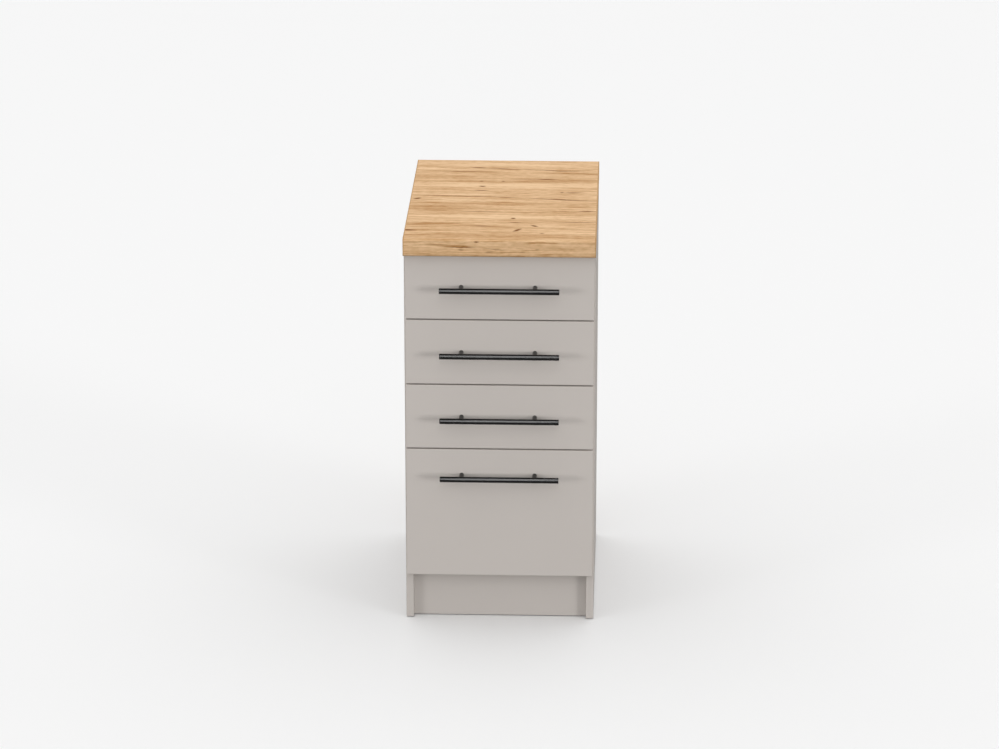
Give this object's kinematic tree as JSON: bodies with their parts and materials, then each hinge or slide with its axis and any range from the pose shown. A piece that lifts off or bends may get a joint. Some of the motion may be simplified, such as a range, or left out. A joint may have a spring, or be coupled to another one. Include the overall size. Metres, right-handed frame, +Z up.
{
  "type": "kitchen base cabinet",
  "caption": "Kitchen base cabinet with flat drawer fronts that slide on roller runners, black bar handles, a recessed plinth and a thick oak-look worktop with a rounded front edge.",
  "frame": {"origin": "on the floor, in the middle of the cabinet's outline seen from above, handles included", "axes": "+X to the right seen from the front, +Y to the wall behind, +Z up; the drawers open towards -Y"},
  "size_m": [0.4, 0.6134, 0.858],
  "materials": {
    "grey_melamine_board": "light grey melamine on chipboard, banded front edges",
    "grey_front_board": "light grey melamine on chipboard, banded all round",
    "white_melamine_board": "white melamine on chipboard",
    "hardboard": "thin hardboard, white on the inside",
    "worktop_chipboard": "raw chipboard core",
    "oak_laminate": "oak-look laminate, satin",
    "oak_edge_strip": "oak-look edge strip, satin",
    "black_handle": "black, satin",
    "runner_steel": "white stoved coating on steel strip",
    "roller_nylon": "natural white nylon",
    "zinc_steel": "zinc plated",
    "cap_plastic": "light grey, matt",
    "glide_plastic": "dark grey, matt",
    "beech_dowel": "raw fluted beech"
  },
  "bodies": {
    "carcass": {"side_panel_left": "grey_melamine_board", "side_panel_right": "grey_melamine_board", "bottom_panel": "grey_melamine_board", "top_rail_front": "grey_melamine_board", "top_rail_rear": "grey_melamine_board", "plinth_board": "grey_melamine_board", "back_panel": "hardboard", "carcass_screws": "zinc_steel", "screw_caps": "cap_plastic", "carcass_dowels": "beech_dowel", "back_panel_nails": "zinc_steel", "floor_glides": "glide_plastic", "worktop_screws": "zinc_steel", "worktop_core": "worktop_chipboard", "worktop_laminate": "oak_laminate", "worktop_end_strips": "oak_edge_strip", "runner_channels_left": "runner_steel", "runner_channels_right": "runner_steel", "runner_screws": "zinc_steel"},
    "drawer_1": {"drawer_1_front": "grey_front_board", "drawer_1_handle_bar": "black_handle", "drawer_1_handle_posts": "black_handle", "drawer_1_box_sides": "white_melamine_board", "drawer_1_box_back": "white_melamine_board", "drawer_1_box_bottom": "hardboard", "drawer_1_runner_rails": "runner_steel", "drawer_1_fixings": "zinc_steel"},
    "drawer_1_front_roller_pair": {"drawer_1_front_rollers": "roller_nylon"},
    "drawer_1_rear_roller_pair": {"drawer_1_rear_rollers": "roller_nylon"},
    "drawer_2": {"drawer_2_front": "grey_front_board", "drawer_2_handle_bar": "black_handle", "drawer_2_handle_posts": "black_handle", "drawer_2_box_sides": "white_melamine_board", "drawer_2_box_back": "white_melamine_board", "drawer_2_box_bottom": "hardboard", "drawer_2_runner_rails": "runner_steel", "drawer_2_fixings": "zinc_steel"},
    "drawer_2_front_roller_pair": {"drawer_2_front_rollers": "roller_nylon"},
    "drawer_2_rear_roller_pair": {"drawer_2_rear_rollers": "roller_nylon"},
    "drawer_3": {"drawer_3_front": "grey_front_board", "drawer_3_handle_bar": "black_handle", "drawer_3_handle_posts": "black_handle", "drawer_3_box_sides": "white_melamine_board", "drawer_3_box_back": "white_melamine_board", "drawer_3_box_bottom": "hardboard", "drawer_3_runner_rails": "runner_steel", "drawer_3_fixings": "zinc_steel"},
    "drawer_3_front_roller_pair": {"drawer_3_front_rollers": "roller_nylon"},
    "drawer_3_rear_roller_pair": {"drawer_3_rear_rollers": "roller_nylon"},
    "drawer_4": {"drawer_4_front": "grey_front_board", "drawer_4_handle_bar": "black_handle", "drawer_4_handle_posts": "black_handle", "drawer_4_box_sides": "white_melamine_board", "drawer_4_box_back": "white_melamine_board", "drawer_4_box_bottom": "hardboard", "drawer_4_runner_rails": "runner_steel", "drawer_4_fixings": "zinc_steel"},
    "drawer_4_front_roller_pair": {"drawer_4_front_rollers": "roller_nylon"},
    "drawer_4_rear_roller_pair": {"drawer_4_rear_rollers": "roller_nylon"}
  },
  "joints": [
    {"name": "drawer_1_slide", "type": "slide", "parent": "carcass", "child": "drawer_1", "axis": [0, -1, 0], "range_m": [0, 0.352]},
    {"name": "drawer_1_front_roller_turn", "type": "hinge", "parent": "carcass", "child": "drawer_1_front_roller_pair", "pos_m": [0, -0.23925, 0.7097], "axis": [1, 0, 0], "range_deg": [-10, 2030]},
    {"name": "drawer_1_rear_roller_turn", "type": "hinge", "parent": "drawer_1", "child": "drawer_1_rear_roller_pair", "pos_m": [0, 0.18025, 0.7095], "axis": [1, 0, 0], "range_deg": [-10, 2030]},
    {"name": "drawer_2_slide", "type": "slide", "parent": "carcass", "child": "drawer_2", "axis": [0, -1, 0], "range_m": [0, 0.352]},
    {"name": "drawer_2_front_roller_turn", "type": "hinge", "parent": "carcass", "child": "drawer_2_front_roller_pair", "pos_m": [0, -0.23925, 0.5667], "axis": [1, 0, 0], "range_deg": [-10, 2030]},
    {"name": "drawer_2_rear_roller_turn", "type": "hinge", "parent": "drawer_2", "child": "drawer_2_rear_roller_pair", "pos_m": [0, 0.18025, 0.5665], "axis": [1, 0, 0], "range_deg": [-10, 2030]},
    {"name": "drawer_3_slide", "type": "slide", "parent": "carcass", "child": "drawer_3", "axis": [0, -1, 0], "range_m": [0, 0.352]},
    {"name": "drawer_3_front_roller_turn", "type": "hinge", "parent": "carcass", "child": "drawer_3_front_roller_pair", "pos_m": [0, -0.23925, 0.4237], "axis": [1, 0, 0], "range_deg": [-10, 2030]},
    {"name": "drawer_3_rear_roller_turn", "type": "hinge", "parent": "drawer_3", "child": "drawer_3_rear_roller_pair", "pos_m": [0, 0.18025, 0.4235], "axis": [1, 0, 0], "range_deg": [-10, 2030]},
    {"name": "drawer_4_slide", "type": "slide", "parent": "carcass", "child": "drawer_4", "axis": [0, -1, 0], "range_m": [0, 0.352]},
    {"name": "drawer_4_front_roller_turn", "type": "hinge", "parent": "carcass", "child": "drawer_4_front_roller_pair", "pos_m": [0, -0.23925, 0.1367], "axis": [1, 0, 0], "range_deg": [-10, 2030]},
    {"name": "drawer_4_rear_roller_turn", "type": "hinge", "parent": "drawer_4", "child": "drawer_4_rear_roller_pair", "pos_m": [0, 0.18025, 0.1365], "axis": [1, 0, 0], "range_deg": [-10, 2030]}
  ],
  "couplings": [
    {"joint": "drawer_1_front_roller_turn", "follows": "drawer_1_slide", "rad_per_m": 100},
    {"joint": "drawer_1_rear_roller_turn", "follows": "drawer_1_slide", "rad_per_m": 100},
    {"joint": "drawer_2_front_roller_turn", "follows": "drawer_2_slide", "rad_per_m": 100},
    {"joint": "drawer_2_rear_roller_turn", "follows": "drawer_2_slide", "rad_per_m": 100},
    {"joint": "drawer_3_front_roller_turn", "follows": "drawer_3_slide", "rad_per_m": 100},
    {"joint": "drawer_3_rear_roller_turn", "follows": "drawer_3_slide", "rad_per_m": 100},
    {"joint": "drawer_4_front_roller_turn", "follows": "drawer_4_slide", "rad_per_m": 100},
    {"joint": "drawer_4_rear_roller_turn", "follows": "drawer_4_slide", "rad_per_m": 100}
  ]
}
